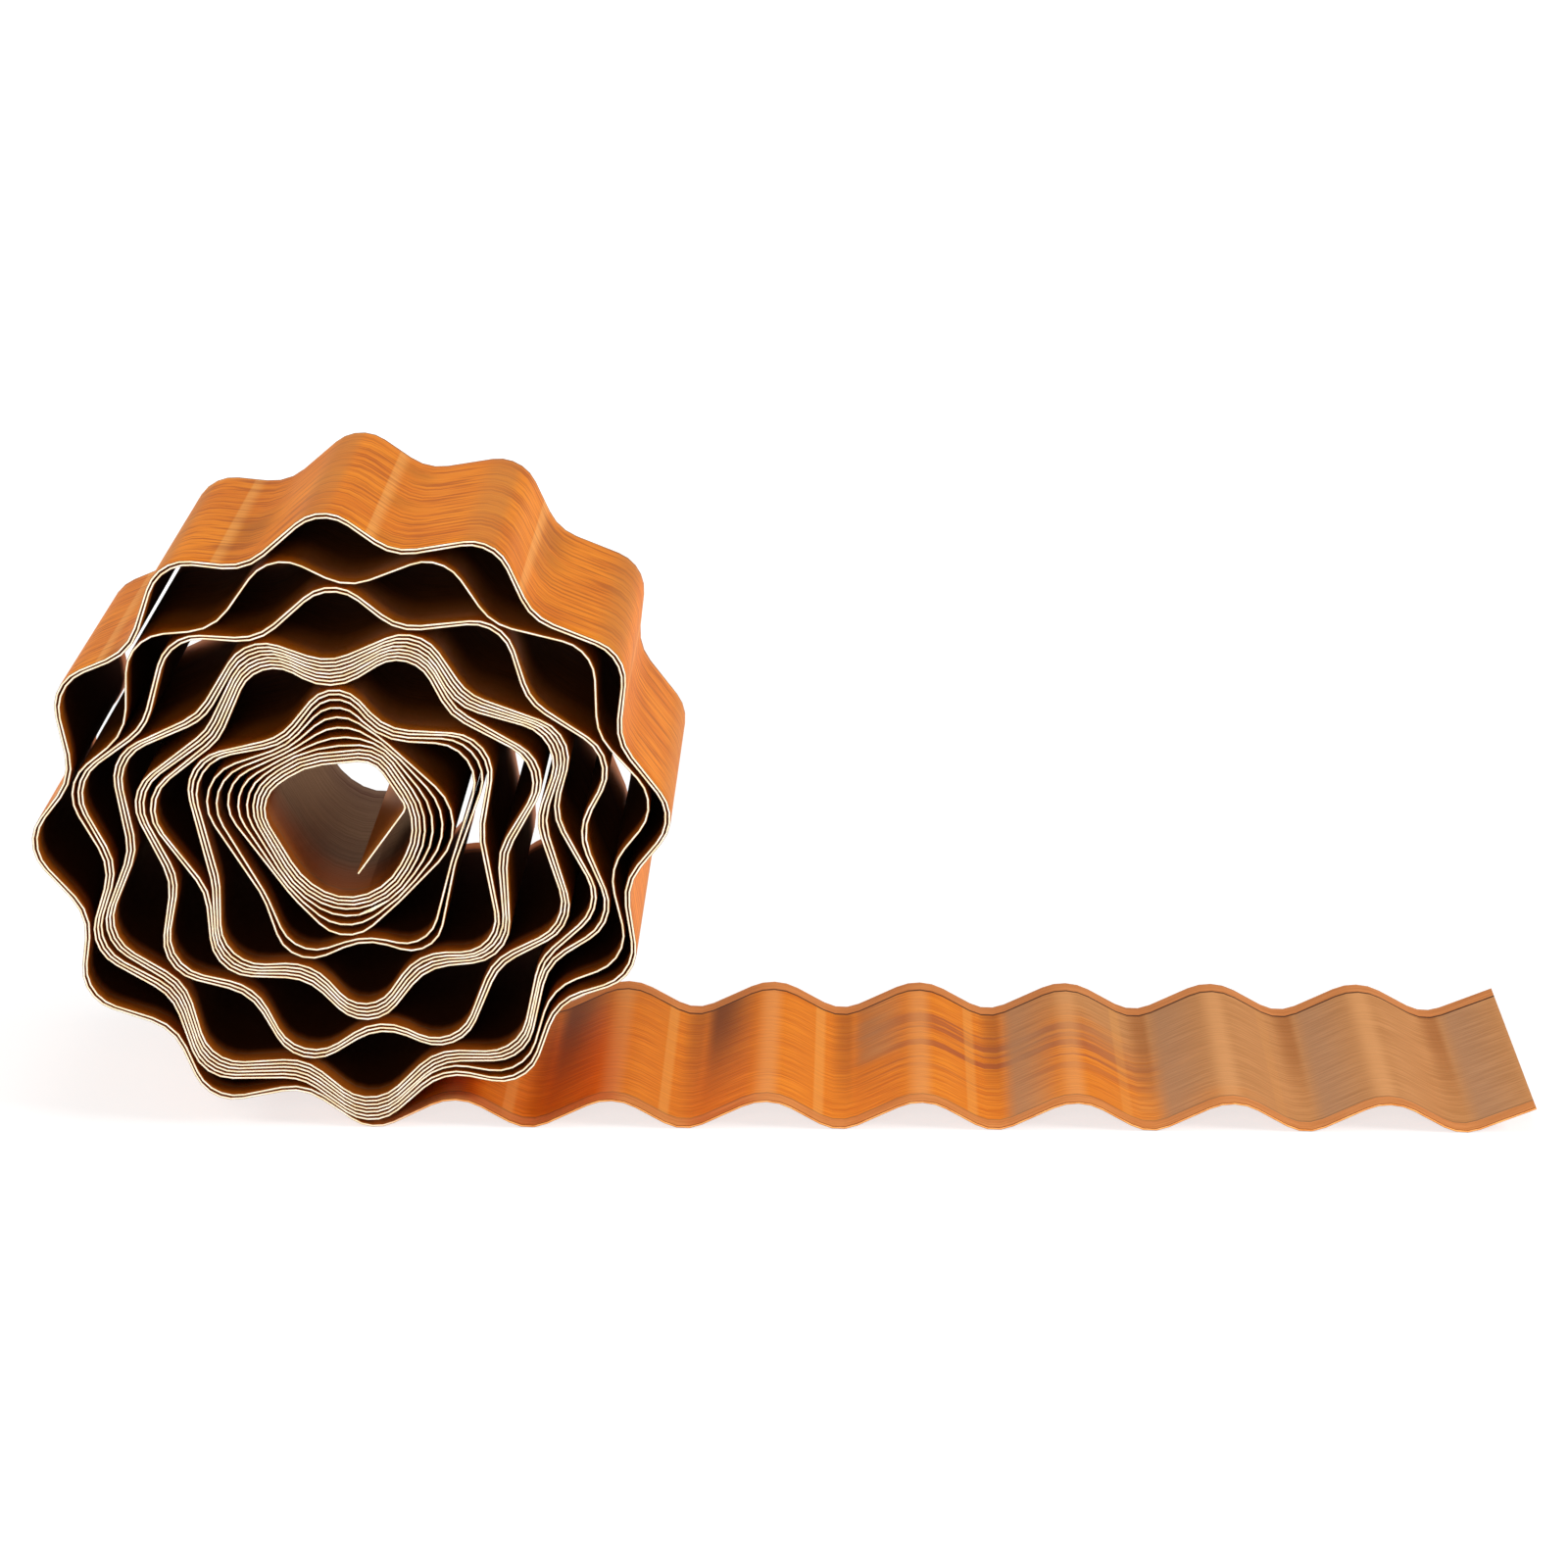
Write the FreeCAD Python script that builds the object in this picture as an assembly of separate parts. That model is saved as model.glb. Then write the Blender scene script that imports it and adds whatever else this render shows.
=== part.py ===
"""Corrugated steel landscape edging, one strip, wound into an open roll.

The strip lies on its waves as a short tail, runs under the roll and winds inwards.
Each turn lies against the turn outside it, so turns whose waves agree nest closely,
and turns whose waves disagree leave lens-shaped cells between them.
Lengths are in millimetres, angles in degrees. +X runs along the tail, +Y across the
strip and +Z up. The origin is on the floor, under the middle of the whole strip.
"""
import FreeCAD, Part
import math
import os

# Strip: width across the roll, and sheet. Both long edges are folded back flat on the
# inner side: too fine a relief for this shape, but the wound turns leave room for it.
STRIP_WIDTH = 150.0
SHEET = 0.45
LAYERS_AT_EDGE = 2

# Waves pressed into the strip: flat flanks between round bends. The inner bend comes
# this share of a wave after the outer one, so the waves lean towards the free end.
WAVE_PITCH = 56.0
ROLL_WAVE_HEIGHT = 11.6
TAIL_WAVE_HEIGHT = 10.2
OUTER_BEND_RADIUS = 15.0
INNER_BEND_RADIUS = 19.0
INNER_BEND_SHARE = 0.46

# A bend is drawn as flats that stay this near to its true curve
BEND_SAG = 0.15

# Tail: from below the roll's axis to the square cut end, and the lowest bend
TAIL_LENGTH = 426.0
LOWEST_BEND_X = 7.5

# Roll: waves in the outermost turn, and the slips, in turns counted from below the
# axis, past which one wave fewer fits round. The outermost turn lies a little looser
# than the rest.
OUTER_WAVES = 12
WAVE_SLIPS = [2.35, 3.6, 5.5, 8.05, 10.95, 13.5, 16.0, 17.9]
SLIP_TURNS = 0.68
TURN_CLEARANCE = 0.34
FIRST_TURN_LOOSENESS = 0.7

# The outer turns have sprung out together on the tail's side, by this much and this
# share of a wave. It starts and is most at these shares of a turn.
SLACK_TURNS = 2
SLACK = 4.5
SLACK_LAG = 0.09
SLACK_FROM = 0.35
SLACK_MOST = 0.75

# Core: the waves fade out between these turns
FULL_WAVE_TURNS = 14.5
PLAIN_TURN = 21.5
BORE_DIAMETER = 43.0

# Inner end: the last turn leaves the core and bends off here, as a straight tongue
# across the bore
TONGUE_ANGLE = 16.0
TONGUE_INSET = 3.0
TONGUE_BEND = 51.0
TONGUE_BEND_RADIUS = 3.0
TONGUE_LENGTH = 30.0

TURN_STEPS = 120
SHORTEST_FLANK = 0.05
FLATTEST = 0.01
BELOW_AXIS = 270.0
ROLL_RADIUS = OUTER_WAVES * WAVE_PITCH / (2 * math.pi)
AXIS_HEIGHT = SHEET / 2 + ROLL_WAVE_HEIGHT / 2 + ROLL_RADIUS

# Radial step between nested turns, with their folded edges clear on the steepest flank
FLANK_ANGLE = math.atan(ROLL_WAVE_HEIGHT / (WAVE_PITCH * INNER_BEND_SHARE))
TURN_STEP = (LAYERS_AT_EDGE * SHEET + TURN_CLEARANCE) / math.cos(FLANK_ANGLE)


def ease(share):
    """A smooth rise from 0 to 1."""
    share = min(max(share, 0.0), 1.0)
    return share * share * (3 - 2 * share)


def fade(turn):
    """The share of the waves' height that is left at a turn of the roll."""
    return ease((PLAIN_TURN - turn) / (PLAIN_TURN - FULL_WAVE_TURNS))


def waves_round(turn):
    """Waves in the turn that ends at a place of the roll. Whole numbers nest."""
    shares = [(turn - slip) / SLIP_TURNS + 0.5 for slip in WAVE_SLIPS]
    return OUTER_WAVES - sum(min(max(share, 0.0), 1.0) for share in shares)


def reach(turn, radius, waves):
    """How far a turn stands off the turn outside it, because their waves don't agree."""
    inside = fade(turn) * ROLL_WAVE_HEIGHT / 2
    outside = fade(turn - 1) * ROLL_WAVE_HEIGHT / 2
    agreement = 2 * inside * outside * math.cos(2 * math.pi * waves)
    flank_sag = fade(turn) * radius * (1 - math.cos(math.pi / (2 * waves)))
    waves_apart = math.sqrt(max(inside**2 + outside**2 - agreement, 0.0))
    return waves_apart + flank_sag * abs(math.sin(2 * math.pi * waves))


def slack(turn):
    """How far an outer turn has sprung out at a place of it, as a share."""
    return ease((turn - SLACK_FROM) / (SLACK_MOST - SLACK_FROM)) * ease((1 - turn) / (1 - SLACK_MOST))


def winding():
    """Mean radius and wave count at each step inwards, until the bore is reached."""
    means = [ROLL_RADIUS]
    counts = [LOWEST_BEND_X / WAVE_PITCH]
    while means[-1] - SHEET / 2 > BORE_DIAMETER / 2:
        index = len(means)
        turn = index / TURN_STEPS
        if turn <= 1:
            means.append(ROLL_RADIUS - (TURN_STEP + FIRST_TURN_LOOSENESS) * turn)
            counts.append(counts[0] + OUTER_WAVES * turn)
            continue
        outside = index - TURN_STEPS
        waves = waves_round(turn)
        means.append(means[outside] - TURN_STEP - reach(turn, means[outside], waves))
        counts.append(counts[outside] + waves)
    for index in range(SLACK_TURNS * TURN_STEPS):
        means[index] += SLACK * slack(index / TURN_STEPS % 1)
        counts[index] -= SLACK_LAG * slack(index / TURN_STEPS % 1)
    return means, counts


def between(values, place):
    """A value between two steps of the winding."""
    index = min(int(place), len(values) - 2)
    return values[index] + (values[index + 1] - values[index]) * (place - index)


def place_of(counts, count):
    """The step of the winding, with its fraction, at which a wave count is reached."""
    index = 0
    while counts[index + 1] < count:
        index += 1
    return index + (count - counts[index]) / (counts[index + 1] - counts[index])


def on_roll(radius, place):
    angle = math.radians(BELOW_AXIS - 360 * place / TURN_STEPS)
    return FreeCAD.Vector(radius * math.cos(angle), 0, AXIS_HEIGHT + radius * math.sin(angle))


def tail_bends():
    """Bends of the tail, from the cut end to the lowest bend, as places and radii."""
    def height_at(count):
        share = count % 1.0
        if share > INNER_BEND_SHARE:
            return (1 - share) / (1 - INNER_BEND_SHARE)
        return share / INNER_BEND_SHARE

    end_count = (LOWEST_BEND_X - TAIL_LENGTH) / WAVE_PITCH
    counts = [end_count]
    wave = math.floor(end_count)
    while wave <= 0:
        counts += [count for count in (wave, wave + INNER_BEND_SHARE) if end_count < count <= 0]
        wave += 1
    bends = []
    for count in counts:
        x = LOWEST_BEND_X - count * WAVE_PITCH
        z = SHEET / 2 + TAIL_WAVE_HEIGHT * height_at(count)
        radius = OUTER_BEND_RADIUS if count == math.floor(count) else INNER_BEND_RADIUS
        bends.append((FreeCAD.Vector(x, 0, z), radius))
    return bends


def roll_bends():
    """Bends round the roll, from below the axis to the tip of the tongue."""
    means, counts = winding()
    tongue_turn = (BELOW_AXIS - TONGUE_ANGLE) / 360
    full_turns = math.floor((len(means) - 1) / TURN_STEPS - tongue_turn)
    last_place = (full_turns + tongue_turn) * TURN_STEPS
    last_count = between(counts, last_place) - INNER_BEND_SHARE / 2
    bends = []
    for wave in range(math.ceil(last_count)):
        outer_bend = (wave, 1, OUTER_BEND_RADIUS)
        inner_bend = (wave + INNER_BEND_SHARE, -1, INNER_BEND_RADIUS)
        for count, side, bend in (outer_bend, inner_bend):
            if not counts[0] < count < last_count:
                continue
            place = place_of(counts, count)
            left = fade(place / TURN_STEPS)
            radius = between(means, place) + side * left * ROLL_WAVE_HEIGHT / 2
            bends.append((on_roll(radius, place), bend / max(left, FLATTEST)))
    return bends + tongue_bends(between(means, last_place) - TONGUE_INSET, last_place)


def tongue_bends(radius, place):
    """The sharp bend off the last turn, and the tip of the straight tongue."""
    start = on_roll(radius, place)
    heading = math.radians(TONGUE_ANGLE - 90 - TONGUE_BEND)
    along = FreeCAD.Vector(math.cos(heading), 0, math.sin(heading))
    return [(start, TONGUE_BEND_RADIUS), (start + along * TONGUE_LENGTH, 0.0)]


def turning(before, corner, after):
    """The signed angle turned at a corner, anticlockwise seen from the front."""
    first = corner - before
    second = after - corner
    return math.atan2(first.x * second.z - first.z * second.x, first.x * second.x + first.z * second.z)


def bend_radius(before, corner, after, radius):
    """The wished radius, or the largest that leaves half of each flank to its neighbour."""
    half_flank = min((corner - before).Length, (after - corner).Length) / 2
    return min(radius, half_flank / math.tan(abs(turning(before, corner, after)) / 2))


def pushed_out(bends):
    """Corners moved out until each rounded bend passes through its own place."""
    corners = [place for place, radius in bends]
    for _ in range(4):
        moved = [corners[0]]
        for index in range(1, len(bends) - 1):
            before, corner, after = corners[index - 1:index + 2]
            angle = turning(before, corner, after)
            radius = bend_radius(before, corner, after, bends[index][1])
            depth = radius * (1 / math.cos(angle / 2) - 1)
            inwards = (before - corner).normalize() + (after - corner).normalize()
            moved.append(bends[index][0] - inwards.normalize() * depth)
        corners = moved + [corners[-1]]
    return corners


def left_of(direction):
    """The strip's outer side, left of its travel from the free end to the core."""
    return FreeCAD.Vector(-direction.z, 0, direction.x)


def turned(heading, angle):
    """A heading turned anticlockwise, seen from the front."""
    return heading * math.cos(angle) + left_of(heading) * math.sin(angle)


def course(bends):
    """The middle of the sheet as places with their headings, bends drawn as flats."""
    corners = pushed_out(bends)
    heading = (corners[1] - corners[0]).normalize()
    places = [(corners[0], heading)]
    for index in range(1, len(corners) - 1):
        before, corner, after = corners[index - 1:index + 2]
        angle = turning(before, corner, after)
        radius = bend_radius(before, corner, after, bends[index][1])
        heading = (corner - before).normalize()
        to_centre = math.copysign(radius, angle)
        centre = corner - heading * radius * math.tan(abs(angle) / 2) + left_of(heading) * to_centre
        flats = max(round(abs(angle) / (2 * math.acos(1 - BEND_SAG / radius))), 1)
        for step in range(flats + 1):
            along = turned(heading, angle * step / flats)
            place = centre - left_of(along) * to_centre
            if (place - places[-1][0]).Length > SHORTEST_FLANK:
                places.append((place, along))
    heading = (corners[-1] - places[-1][0]).normalize()
    return places + [(corners[-1], heading)]


def edging_strip():
    places = course(tail_bends() + roll_bends())
    outer = [place + left_of(heading) * SHEET / 2 for place, heading in places]
    inner = [place - left_of(heading) * SHEET / 2 for place, heading in places]
    section = Part.Face(Part.makePolygon(outer + inner[::-1] + [outer[0]]))
    return section.extrude(FreeCAD.Vector(0, STRIP_WIDTH, 0))


def on_origin(shape):
    """Moves the shape so that the origin is on the floor, under its middle."""
    box = shape.optimalBoundingBox()
    return shape.translated(FreeCAD.Vector(-box.Center.x, -STRIP_WIDTH / 2, -box.ZMin))


os.makedirs("parts", exist_ok=True)
on_origin(edging_strip()).exportStep("parts/edging_strip.step")
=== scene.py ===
import math

import bmesh
import bpy
import numpy as np
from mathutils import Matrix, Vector


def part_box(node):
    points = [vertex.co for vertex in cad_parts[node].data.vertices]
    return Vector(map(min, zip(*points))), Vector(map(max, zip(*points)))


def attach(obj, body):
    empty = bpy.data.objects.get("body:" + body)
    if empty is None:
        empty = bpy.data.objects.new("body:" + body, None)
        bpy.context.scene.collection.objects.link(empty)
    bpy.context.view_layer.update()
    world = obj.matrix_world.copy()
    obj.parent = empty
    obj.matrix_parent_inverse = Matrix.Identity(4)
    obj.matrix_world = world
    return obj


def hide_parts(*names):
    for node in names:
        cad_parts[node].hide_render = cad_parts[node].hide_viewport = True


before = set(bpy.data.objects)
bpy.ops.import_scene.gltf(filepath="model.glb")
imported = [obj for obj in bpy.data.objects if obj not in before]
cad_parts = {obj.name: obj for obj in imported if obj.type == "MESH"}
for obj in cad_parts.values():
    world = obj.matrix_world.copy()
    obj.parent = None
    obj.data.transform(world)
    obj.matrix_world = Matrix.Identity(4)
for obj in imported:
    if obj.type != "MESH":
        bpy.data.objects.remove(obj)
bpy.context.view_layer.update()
bpy.ops.object.select_all(action="DESELECT")


# Edging strip
# One long strip of thin corrugated steel, pressed into waves and wound into the roll.
# Both long edges are folded back flat on the inner side, so they are round and two
# sheets thick.
SHEET = 0.00045
FOLD_DEPTH = 0.0085
FOLD_STEP = 0.00006
NOSE_ROUNDING = 0.00042
NOSE_STEPS = 3
SAME_PLACE = 0.000001
INNER_SLOT = 1
NOSE_SLOT = 2
SMOOTH_BELOW = math.radians(35)
HALF_WAVE = 0.0298
CREST_SPAN = 0.8 * HALF_WAVE
FACES_FRONT = 0.9

low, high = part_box("edging_strip")
near_edge = low[1]
far_edge = high[1]
WIDTH = far_edge - near_edge

strip = bpy.data.objects.new("folded_strip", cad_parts["edging_strip"].data.copy())
bpy.context.collection.objects.link(strip)
strip.select_set(True)
bpy.context.view_layer.objects.active = strip
strip.data.materials.clear()
bpy.ops.object.mode_set(mode="EDIT")
bpy.ops.mesh.select_all(action="SELECT")
bpy.ops.mesh.remove_doubles(threshold=SAME_PLACE)
bpy.ops.mesh.select_mode(type="VERT")


def near_outline(sheet):
    """Corners round the strip's near edge, from the outer corner of the cut end."""
    def is_near(face):
        return face.normal.y < -FACES_FRONT

    rims = [edge for edge in sheet.edges if sum(is_near(face) for face in edge.link_faces) == 1]
    beside = {}
    for edge in rims:
        for corner in edge.verts:
            beside.setdefault(corner, []).append(edge.other_vert(corner))
    at_end = [edge for edge in rims if min(corner.co.x for corner in edge.verts) > high[0] - 2 * SHEET]
    cut_end = min(at_end, key=lambda edge: abs(edge.calc_length() - SHEET))
    outer_end, inner_end = sorted(cut_end.verts, key=lambda corner: corner.co.z)
    outline = [outer_end]
    previous = inner_end
    while outline[-1] is not inner_end:
        here = outline[-1]
        outline.append([corner for corner in beside[here] if corner is not previous][0])
        previous = here
    return outline


def spot(corner):
    """Where a corner is, seen from the front, whichever edge of the strip it is on."""
    return (round(corner.co.x, 7), round(corner.co.z, 7))


sheet = bmesh.from_edit_mesh(strip.data)
outline = near_outline(sheet)
outer_run = outline[:len(outline) // 2]
run_x = np.array([corner.co.x for corner in outer_run])
run_z = np.array([corner.co.z for corner in outer_run])
run_length = np.concatenate([[0.0], np.cumsum(np.hypot(np.diff(run_x), np.diff(run_z)))])
strip_length = run_length[-1]

# Each wave is counted on its outer crest, the furthest place from a line drawn across it
back = run_length - HALF_WAVE
ahead = run_length + HALF_WAVE
chord_x = np.interp(ahead, run_length, run_x) - np.interp(back, run_length, run_x)
chord_z = np.interp(ahead, run_length, run_z) - np.interp(back, run_length, run_z)
from_x = run_x - np.interp(back, run_length, run_x)
from_z = run_z - np.interp(back, run_length, run_z)
rise = (chord_x * from_z - chord_z * from_x) / np.hypot(chord_x, chord_z)
crests = [
    place for place, height in zip(run_length, rise)
    if height >= rise[abs(run_length - place) < CREST_SPAN].max()
]
wave_counts = np.interp(run_length, crests, range(1, len(crests) + 1))
before_first = run_length < crests[0]
wave_counts[before_first] += (run_length[before_first] - crests[0]) / (2 * HALF_WAVE)
runs = {spot(corner): place for corner, place in zip(outer_run, zip(run_length, wave_counts))}

bpy.ops.mesh.select_all(action="DESELECT")
for face in sheet.faces:
    off_run = any(spot(corner) not in runs for corner in face.verts)
    face.select_set(abs(face.normal.y) > FACES_FRONT or off_run)
bpy.ops.mesh.delete(type="FACE")
bpy.ops.mesh.select_all(action="SELECT")
bpy.ops.mesh.tris_convert_to_quads(face_threshold=math.radians(1), shape_threshold=math.pi)

sheet = bmesh.from_edit_mesh(strip.data)
run = sheet.loops.layers.uv.new("run")
waves = sheet.loops.layers.uv.new("waves")
for face in sheet.faces:
    for loop in face.loops:
        along_here, count_here = runs[spot(loop.vert)]
        across_here = loop.vert.co.y - near_edge
        loop[run].uv = (along_here, across_here)
        loop[waves].uv = (count_here, across_here)
bmesh.update_edit_mesh(strip.data)

cuts = [near_edge + FOLD_DEPTH, near_edge + FOLD_DEPTH + FOLD_STEP]
cuts += [far_edge - FOLD_DEPTH - FOLD_STEP, far_edge - FOLD_DEPTH]
for cut in cuts:
    bpy.ops.mesh.select_all(action="SELECT")
    bpy.ops.mesh.bisect(plane_co=(0, cut, 0), plane_no=(0, 1, 0))
bpy.ops.object.mode_set(mode="OBJECT")

folds = strip.vertex_groups.new(name="folds")
half_step = FOLD_STEP / 2
folded = [
    corner.index for corner in strip.data.vertices
    if corner.co.y < cuts[0] + half_step or corner.co.y > cuts[3] - half_step
]
folds.add(folded, 1.0, "REPLACE")
thicken = strip.modifiers.new("thicken", "SOLIDIFY")
thicken.thickness = 2 * SHEET
thicken.offset = -1
thicken.vertex_group = "folds"
thicken.thickness_vertex_group = 0.5
thicken.use_even_offset = True
thicken.use_rim = True
thicken.material_offset = INNER_SLOT
thicken.material_offset_rim = NOSE_SLOT


class Socket:
    """One output in a node tree. Sums and products of outputs are written as such."""

    def __init__(self, tree, output):
        self.tree = tree
        self.output = output

    def node(self, kind, inputs, output=0, **settings):
        """A new node of any kind, with its settings first and then its inputs."""
        node = self.tree.nodes.new(kind)
        for name, value in settings.items():
            setattr(node, name, value)
        for name, value in inputs.items():
            if isinstance(value, Socket):
                self.tree.links.new(value.output, node.inputs[name])
            else:
                node.inputs[name].default_value = value
        return Socket(self.tree, node.outputs[output])

    def maths(self, operation, *values):
        return self.node("ShaderNodeMath", dict(enumerate(values)), operation=operation)

    def __add__(self, other):
        return self.maths("ADD", self, other)

    __radd__ = __add__

    def __sub__(self, other):
        return self.maths("SUBTRACT", self, other)

    def __rsub__(self, other):
        return self.maths("SUBTRACT", other, self)

    def __mul__(self, other):
        return self.maths("MULTIPLY", self, other)

    __rmul__ = __mul__

    def rise(self, start, end):
        """A smooth rise from 0 at start to 1 at end, or a fall where end is less."""
        inputs = {"Value": self, "From Min": start, "From Max": end}
        return self.node("ShaderNodeMapRange", inputs, interpolation_type="SMOOTHSTEP")

    def blend(self, colour, other):
        """The first colour where this is 0 and the other where it is 1."""
        inputs = {0: self, 6: colour, 7: other}
        return self.node("ShaderNodeMix", inputs, output=2, data_type="RGBA")


SPECULAR_LEVEL = 0.2


def finish_of(name, roughness, metallic, sheen):
    """A new material's surface, and the distances and waves that its pattern follows."""
    material = bpy.data.materials.new(name)
    material.use_nodes = True
    tree = material.node_tree
    shader = tree.nodes["Principled BSDF"]
    shader.inputs["Roughness"].default_value = roughness
    shader.inputs["Metallic"].default_value = metallic
    shader.inputs["Specular IOR Level"].default_value = SPECULAR_LEVEL
    shader.inputs["Specular Tint"].default_value = sheen
    start = Socket(tree, None)
    run_map = start.node("ShaderNodeUVMap", {}, uv_map="run")
    wave_map = start.node("ShaderNodeUVMap", {}, uv_map="waves")
    along = start.node("ShaderNodeSeparateXYZ", {"Vector": run_map})
    across = start.node("ShaderNodeSeparateXYZ", {"Vector": run_map}, output=1)
    count = start.node("ShaderNodeSeparateXYZ", {"Vector": wave_map})
    return material, shader, along, across, start.maths("FRACT", count)


def grain(along, across, per_metre_along, per_metre_across, detail=3.0):
    """A noise drawn out along the strip, as rolling leaves it."""
    inputs = {"X": along * per_metre_along, "Y": across * per_metre_across}
    place = along.node("ShaderNodeCombineXYZ", inputs)
    return along.node("ShaderNodeTexNoise", {"Vector": place, "Scale": 1.0, "Detail": detail})


SCREEN_GAMMA = 2.2


def colour(red, green, blue):
    """A colour given as a screen shows it, from 0 to 255, as the shader needs it."""
    return (*[(part / 255) ** SCREEN_GAMMA for part in (red, green, blue)], 1.0)


def brushed(shader, scratches, depth):
    """Scratches along the strip, as a relief this deep."""
    relief = scratches.node("ShaderNodeBump", {"Height": scratches, "Strength": 1.0, "Distance": depth})
    scratches.tree.links.new(relief.output, shader.inputs["Normal"])


TAIL_RUN = 0.46
FIRST_TURN_END = 1.17
LAST_TURN = strip_length - 0.19
TONGUE = strip_length - 0.031
OUTSIDE_MOUTH = 0.045
INSIDE_MOUTH = 0.016
FAR_FOLD = WIDTH - FOLD_DEPTH
SCRATCH_DEPTH = 0.00012

# Outer side: bright rust orange, with a painted greyish reflection on the crests, painted shade in the
# troughs, a painted highlight low on the flanks, and painted shade deep between the nested turns, lighter
# towards the open edges
OUTSIDE_GLOSS = 0.42
METAL = 0.6
SHEEN = colour(255, 186, 96)
outer_material, outer_shader, along, across, phase = finish_of(
    "rust_orange_outside", OUTSIDE_GLOSS, METAL, SHEEN
)
fine = grain(along, across, 60.0, 900.0)
streaks = grain(along, across, 38.0, 330.0, 4.0)
clouds = grain(along, across, 16.0, 22.0)
tone = clouds.rise(0.3, 0.7).blend(colour(216, 118, 10), colour(242, 146, 24))
tone = (streaks.rise(0.52, 0.36) * 0.75).blend(tone, colour(164, 80, 8))
tone = (streaks.rise(0.50, 0.68) * 0.6).blend(tone, colour(248, 160, 46))
tone = (fine.rise(0.35, 0.7) * 0.25).blend(tone, colour(180, 92, 12))
# Painted reflection: a greyish band along each crest
painted_crest_sheen = phase.rise(0.80, 0.95) + phase.rise(0.10, 0.02)
tone = (painted_crest_sheen * (clouds * 0.7 + 0.1)).blend(tone, colour(184, 122, 64))
# Painted shade in the troughs, in patches
painted_trough_shade = phase.rise(0.26, 0.44) * phase.rise(0.66, 0.46)
tone = (painted_trough_shade * clouds.rise(0.46, 0.70) * 0.55).blend(tone, colour(120, 60, 8))
# Painted highlight: a narrow pale band low on each flank
painted_flank_highlight = phase.rise(0.300, 0.312) * phase.rise(0.40, 0.33)
tone = (painted_flank_highlight * streaks * 0.9).blend(tone, colour(244, 184, 112))
tone = across.rise(WIDTH - 0.0016, WIDTH - 0.0010).blend(tone, colour(110, 58, 16))
# Painted shade: near black deep between the nested turns, orange brown towards the open edges
nested = along.rise(FIRST_TURN_END - 0.02, FIRST_TURN_END)
mouth = across.rise(OUTSIDE_MOUTH, 0.004) + across.rise(WIDTH - OUTSIDE_MOUTH, WIDTH - 0.004)
painted_deep_shade = fine.rise(0.25, 0.75).blend(colour(64, 30, 8), colour(92, 48, 16))
shade_inside_roll = mouth.blend(painted_deep_shade, colour(180, 96, 22))
tone = nested.blend(tone, shade_inside_roll)
outer_material.node_tree.links.new(tone.output, outer_shader.inputs["Base Color"])
dull = nested * (1 - mouth) * 0.5 + OUTSIDE_GLOSS
outer_material.node_tree.links.new(dull.output, outer_shader.inputs["Roughness"])
brushed(outer_shader, streaks + fine * 0.5, SCRATCH_DEPTH)

# Inner side: orange near the roll, red streaks further out and grey tan at the cut end
INSIDE_GLOSS = 0.42
inner_material, inner_shader, along, across, phase = finish_of(
    "rust_brown_inside", INSIDE_GLOSS, METAL, SHEEN
)
fine = grain(along, across, 50.0, 700.0)
streaks = grain(along, across, 7.0, 120.0, 5.0)
patches = grain(along, across, 9.0, 18.0, 4.0)
tone = fine.rise(0.25, 0.75).blend(colour(206, 108, 10), colour(244, 148, 38))
tan = fine.rise(0.25, 0.75).blend(colour(178, 124, 78), colour(208, 150, 102))
# Grey for the painted reflection on the flanks that face left
painted_grey_reflection = fine.rise(0.25, 0.75).blend(colour(162, 122, 96), colour(186, 144, 114))
red = colour(170, 88, 50)
middle = along.rise(0.28, 0.22) * along.rise(0.05, 0.13)
reds = middle * streaks.rise(0.46, 0.54) * across.rise(0.03, 0.06) * across.rise(0.135, 0.11)
tone = (reds * 0.9).blend(tone, red)
drift = patches * 0.9 + across * 4.0
tan_part = (along.rise(0.24, 0.04) * 1.2 + drift - 0.75).rise(0.15, 0.65)
tone = tan_part.blend(tone, tan)
# Painted reflection and shade on the flanks that face left: grey away from the roll, dark brown near it
left_face = phase.rise(0.50, 0.86) * phase.rise(1.0, 0.87)
grey_reflection_part = (along.rise(0.30, 0.16) + drift - 0.7).rise(0.2, 0.6)
tone = (left_face * grey_reflection_part * 0.85).blend(tone, painted_grey_reflection)
shade_and_reflection_part = along.rise(0.24, 0.30) * across.rise(0.0, 0.13)
tone = (left_face * shade_and_reflection_part * 0.9).blend(tone, colour(96, 50, 18))
# Painted highlight: a soft pale band on each crest
painted_crest_sheen = phase.rise(0.42, 0.50) * phase.rise(0.62, 0.52)
tone = (painted_crest_sheen * 0.4).blend(tone, colour(236, 176, 124))
# Painted highlight: a narrow pale band on each flank
painted_flank_highlight = phase.rise(0.22, 0.205) * phase.rise(0.13, 0.16)
tone = (painted_flank_highlight * along.rise(0.02, 0.30) * 0.4).blend(tone, colour(244, 178, 100))
# Painted shade in the troughs, stronger towards the far edge
painted_trough_shade = phase.rise(0.13, 0.02) + phase.rise(0.94, 0.99)
tone = (painted_trough_shade * across.rise(0.0, 0.12) * 0.5).blend(tone, colour(140, 76, 26))
near_flap = across.rise(FOLD_DEPTH, FOLD_DEPTH - 0.0001)
far_flap = across.rise(FAR_FOLD, FAR_FOLD + 0.0001)
flap_tone = fine.rise(0.25, 0.75).blend(colour(196, 122, 70), colour(220, 144, 90))
tone = ((near_flap + far_flap) * 0.85).blend(tone, flap_tone)
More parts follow.
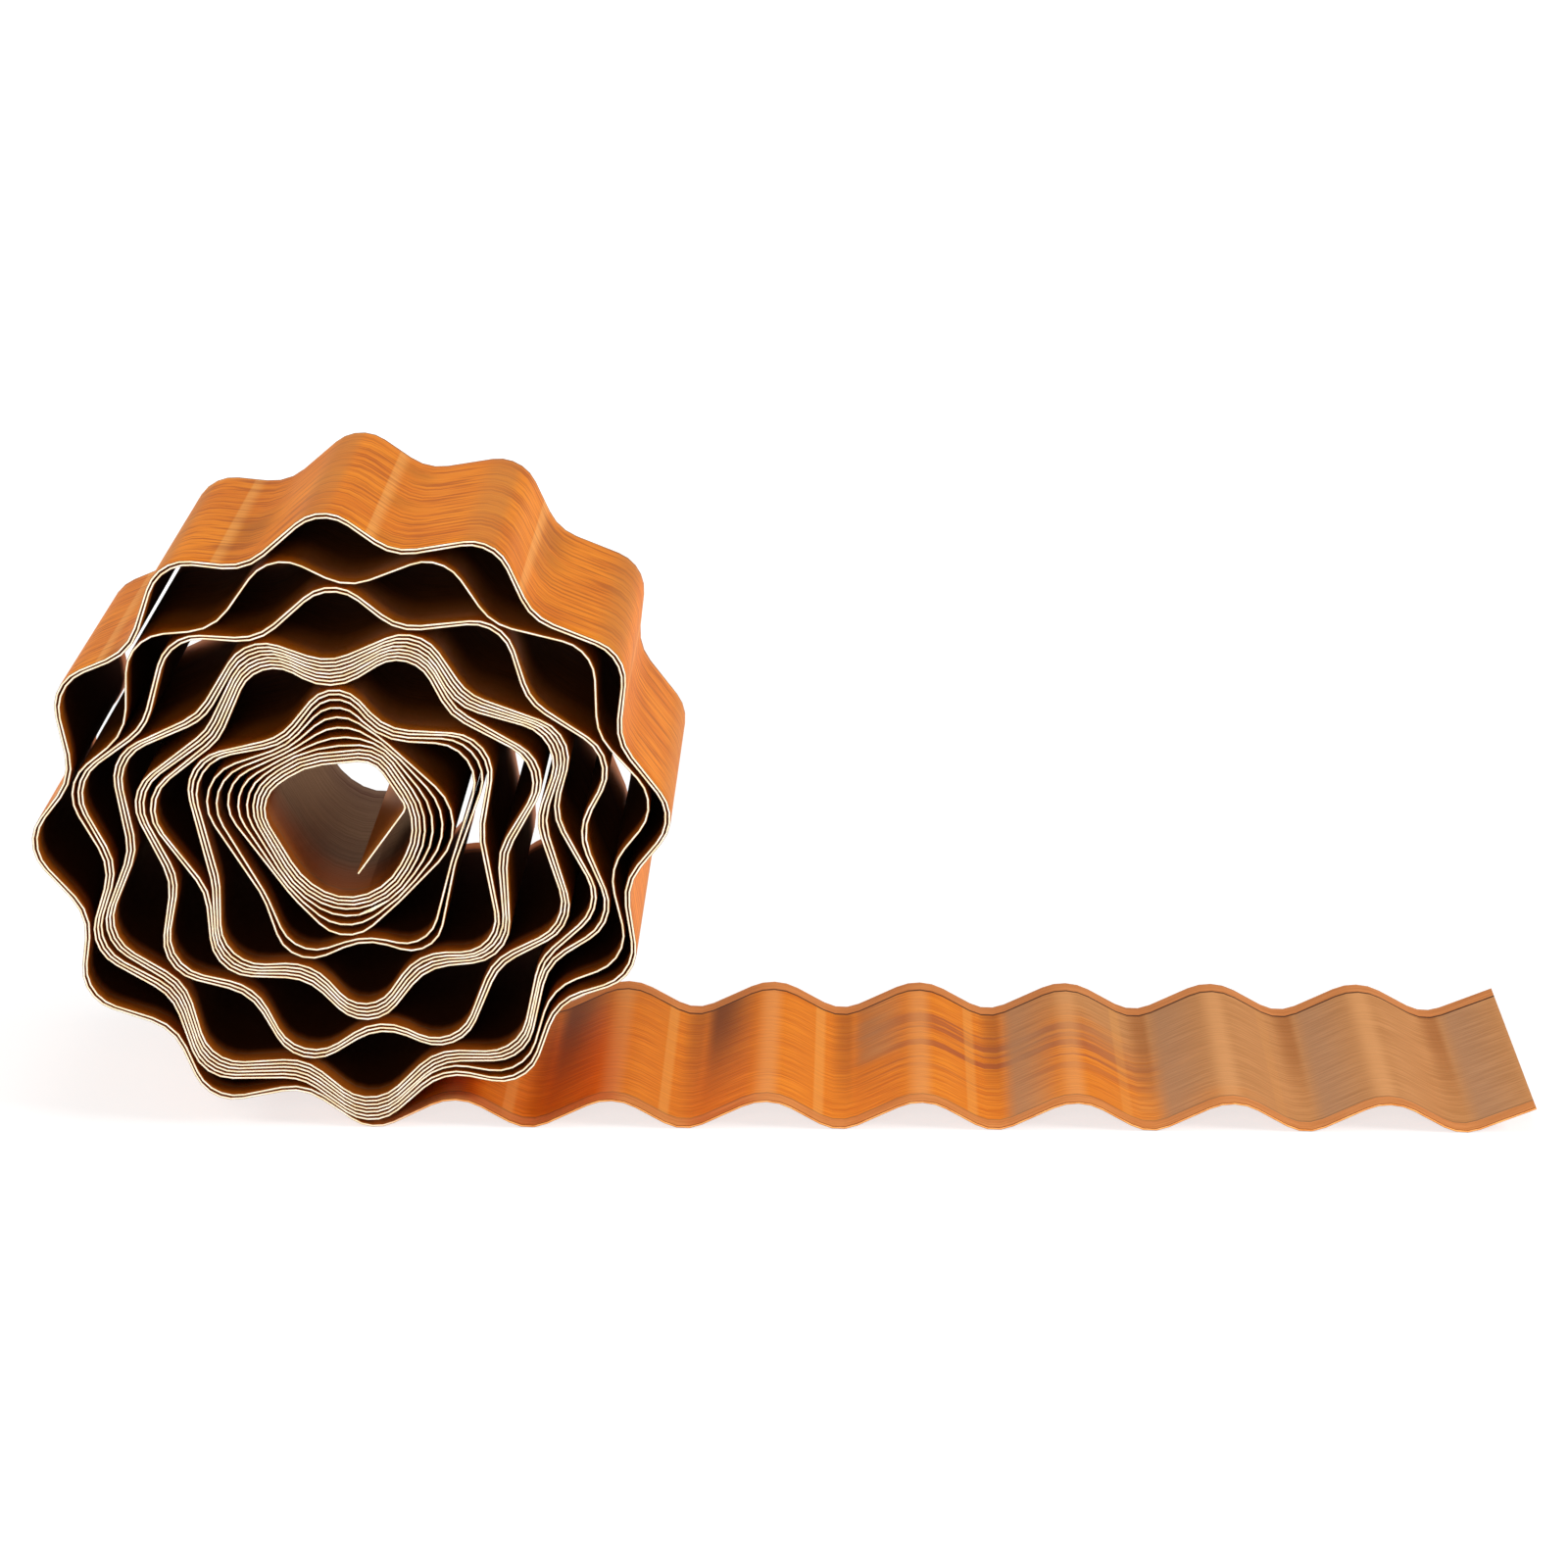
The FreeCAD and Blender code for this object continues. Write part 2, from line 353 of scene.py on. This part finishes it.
# Painted shade: near black deep inside the roll, orange brown towards the open edges
nested = along.rise(TAIL_RUN - 0.03, TAIL_RUN)
mouth = across.rise(INSIDE_MOUTH, 0.003) + across.rise(WIDTH - INSIDE_MOUTH, WIDTH - 0.003)
shade_inside_roll = mouth.blend(colour(44, 20, 7), colour(176, 94, 26))
tone = nested.blend(tone, shade_inside_roll)
bore = along.rise(LAST_TURN, LAST_TURN + 0.005)
dull = nested * (1 - bore) * (1 - mouth) * 0.5 + INSIDE_GLOSS
inner_material.node_tree.links.new(dull.output, inner_shader.inputs["Roughness"])
rings = grain(along, across, 6.0, 420.0, 2.0)
steel = (fine * 0.6 + rings * 0.6 - 0.1).rise(0.25, 0.75).blend(colour(62, 52, 54), colour(112, 98, 100))
steel = (across - patches * 0.03).rise(0.035, 0.0).blend(steel, colour(168, 92, 32))
tone = bore.blend(tone, steel)
tone = along.rise(TONGUE, TONGUE + 0.001).blend(tone, colour(206, 120, 44))
line = across.rise(FOLD_DEPTH - 0.0001, FOLD_DEPTH) * across.rise(FOLD_DEPTH + 0.0014, FOLD_DEPTH + 0.0006)
# A dark groove along the far fold's edge, widened by a painted shadow under the fold
far_fold_shadow = across.rise(FAR_FOLD - 0.0022, FAR_FOLD - 0.0010)
far_fold_shadow = far_fold_shadow * across.rise(FAR_FOLD + 0.0001, FAR_FOLD)
tone = (line * 0.6).blend(tone, colour(120, 96, 72))
tone = (far_fold_shadow * 0.95).blend(tone, colour(44, 26, 18))
inner_material.node_tree.links.new(tone.output, inner_shader.inputs["Base Color"])
brushed(inner_shader, fine, SCRATCH_DEPTH)

# Folded edges: a painted highlight, pale cream, along the front of each nose in the roll, orange on the
# tail, with painted shade on the nose's sides
NOSE_GLOSS = 0.35
NOSE_SHEEN = colour(255, 250, 240)
nose_material, nose_shader, along, across, phase = finish_of(
    "folded_edge_painted_highlight", NOSE_GLOSS, 0.0, NOSE_SHEEN
)
streaks = grain(along, across, 120.0, 300.0)
painted_nose_highlight = streaks.rise(0.3, 0.7).blend(colour(240, 222, 176), colour(255, 250, 232))
fresh = streaks.rise(0.3, 0.7).blend(colour(212, 128, 58), colour(240, 172, 100))
tone = along.rise(0.42, 0.46).blend(fresh, painted_nose_highlight)
facing = along.node("ShaderNodeNewGeometry", {}, output=1)
front = along.node("ShaderNodeSeparateXYZ", {"Vector": facing}, output=1)
# Painted shade on the sides of the nose, chosen by which way the surface faces
side = along.maths("ABSOLUTE", front).rise(0.90, 0.74)
tone = side.blend(tone, colour(132, 68, 20))
nose_material.node_tree.links.new(tone.output, nose_shader.inputs["Base Color"])

for material in (outer_material, inner_material, nose_material):
    strip.data.materials.append(material)
bpy.ops.object.modifier_apply(modifier="thicken")

bpy.ops.object.mode_set(mode="EDIT")
bpy.ops.mesh.select_mode(type="EDGE")
bpy.ops.mesh.select_all(action="DESELECT")
sheet = bmesh.from_edit_mesh(strip.data)
for edge in sheet.edges:
    first, second = edge.verts
    on_rim = all(abs(abs(corner.co.y) - far_edge) < SAME_PLACE for corner in edge.verts)
    one_edge = first.co.y * second.co.y > 0
    lengthwise = any(face.material_index != NOSE_SLOT for face in edge.link_faces)
    edge.select_set(on_rim and one_edge and lengthwise)
bpy.ops.mesh.bevel(
    offset=NOSE_ROUNDING, segments=NOSE_STEPS, affect="EDGES", clamp_overlap=False, material=NOSE_SLOT
)
bpy.ops.object.mode_set(mode="OBJECT")
bpy.ops.object.shade_smooth_by_angle(angle=SMOOTH_BELOW)
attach(strip, "root")
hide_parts("edging_strip")


# Floor
# A plain white floor, which shows white to the camera and in what shines, and still
# takes the roll's shadow.
bpy.ops.object.select_all(action="DESELECT")


def seen_rays(tree, in_metal):
    """1 for what the camera sees, also through glass, and this much for what metal shows."""
    camera_ray = Socket(tree, None).node("ShaderNodeLightPath", {})
    glossy = Socket(tree, camera_ray.output.node.outputs["Is Glossy Ray"])
    transmitted = Socket(tree, camera_ray.output.node.outputs["Is Transmission Ray"])
    return camera_ray.maths("MINIMUM", camera_ray + glossy * in_metal + transmitted, 1.0)


bpy.ops.mesh.primitive_plane_add(size=12.0, location=(0, 2.0, -0.0001))
floor = bpy.context.object
floor.name = "floor"
bpy.ops.object.transform_apply(location=True)
floor_material = bpy.data.materials.new("white_floor")
floor_material.use_nodes = True
floor_shader = floor_material.node_tree.nodes["Principled BSDF"]
floor_shader.inputs["Roughness"].default_value = 0.9
floor_shader.inputs["Emission Strength"].default_value = 1.0
seen = seen_rays(floor_material.node_tree, 1.0)
place = seen.node("ShaderNodeTexCoord", {}, output=3)
distance = seen.node("ShaderNodeVectorMath", {0: place}, output=1, operation="LENGTH")
shown = seen * (0.72 + 0.28 * distance.rise(0.45, 1.3))
glow = shown.blend((0.0, 0.0, 0.0, 1.0), (1.0, 1.0, 1.0, 1.0))
floor_material.node_tree.links.new(glow.output, floor_shader.inputs["Emission Color"])
whiteness = seen.blend((0.8, 0.8, 0.8, 1.0), (0.3, 0.3, 0.3, 1.0))
floor_material.node_tree.links.new(whiteness.output, floor_shader.inputs["Base Color"])
floor.data.materials.append(floor_material)


# Light and camera
# A white studio with soft lamps at the right, overhead and at the left, and a fill from
# the front. The world is white to the camera and dimmer where it only lights.
scene = bpy.context.scene
scene.view_settings.view_transform = "Standard"
world = bpy.data.worlds.new("studio")
scene.world = world
world.use_nodes = True
surround = world.node_tree.nodes["Background"]
strength = seen_rays(world.node_tree, 0.6) * 0.7 + 0.3
surround.inputs["Color"].default_value = (1.0, 1.0, 1.0, 1.0)
world.node_tree.links.new(strength.output, surround.inputs["Strength"])

LIT_PLACE = Vector((-0.05, 0.0, 0.08))
LAMPS = (
    ("right", (1.6, -0.6, 0.9), 0.6, 30.0),
    ("overhead", (-0.1, 0.1, 1.7), 0.7, 9.0),
    ("left", (-1.5, -0.6, 1.1), 0.7, 11.0),
    ("front", (-0.3, -2.2, 0.8), 0.8, 20.0),
)
for name, place, across_lamp, watts in LAMPS:
    bpy.ops.object.light_add(type="AREA", location=place)
    lamp = bpy.context.object
    lamp.name = name
    lamp.data.size = across_lamp
    lamp.data.energy = watts
    towards = LIT_PLACE - Vector(place)
    lamp.rotation_euler = towards.to_track_quat("-Z", "Y").to_euler()

LOOKS_DOWN = 14.463
LOOKS_LEFT = 0.981
bpy.ops.object.camera_add(location=(0.0310, -1.9553, 0.6134))
camera = bpy.context.object
camera.rotation_euler = (math.radians(90 - LOOKS_DOWN), 0.0, math.radians(LOOKS_LEFT))
camera.data.lens = 125.9
camera.data.sensor_width = 36.0
scene.camera = camera

bpy.context.view_layer.update()
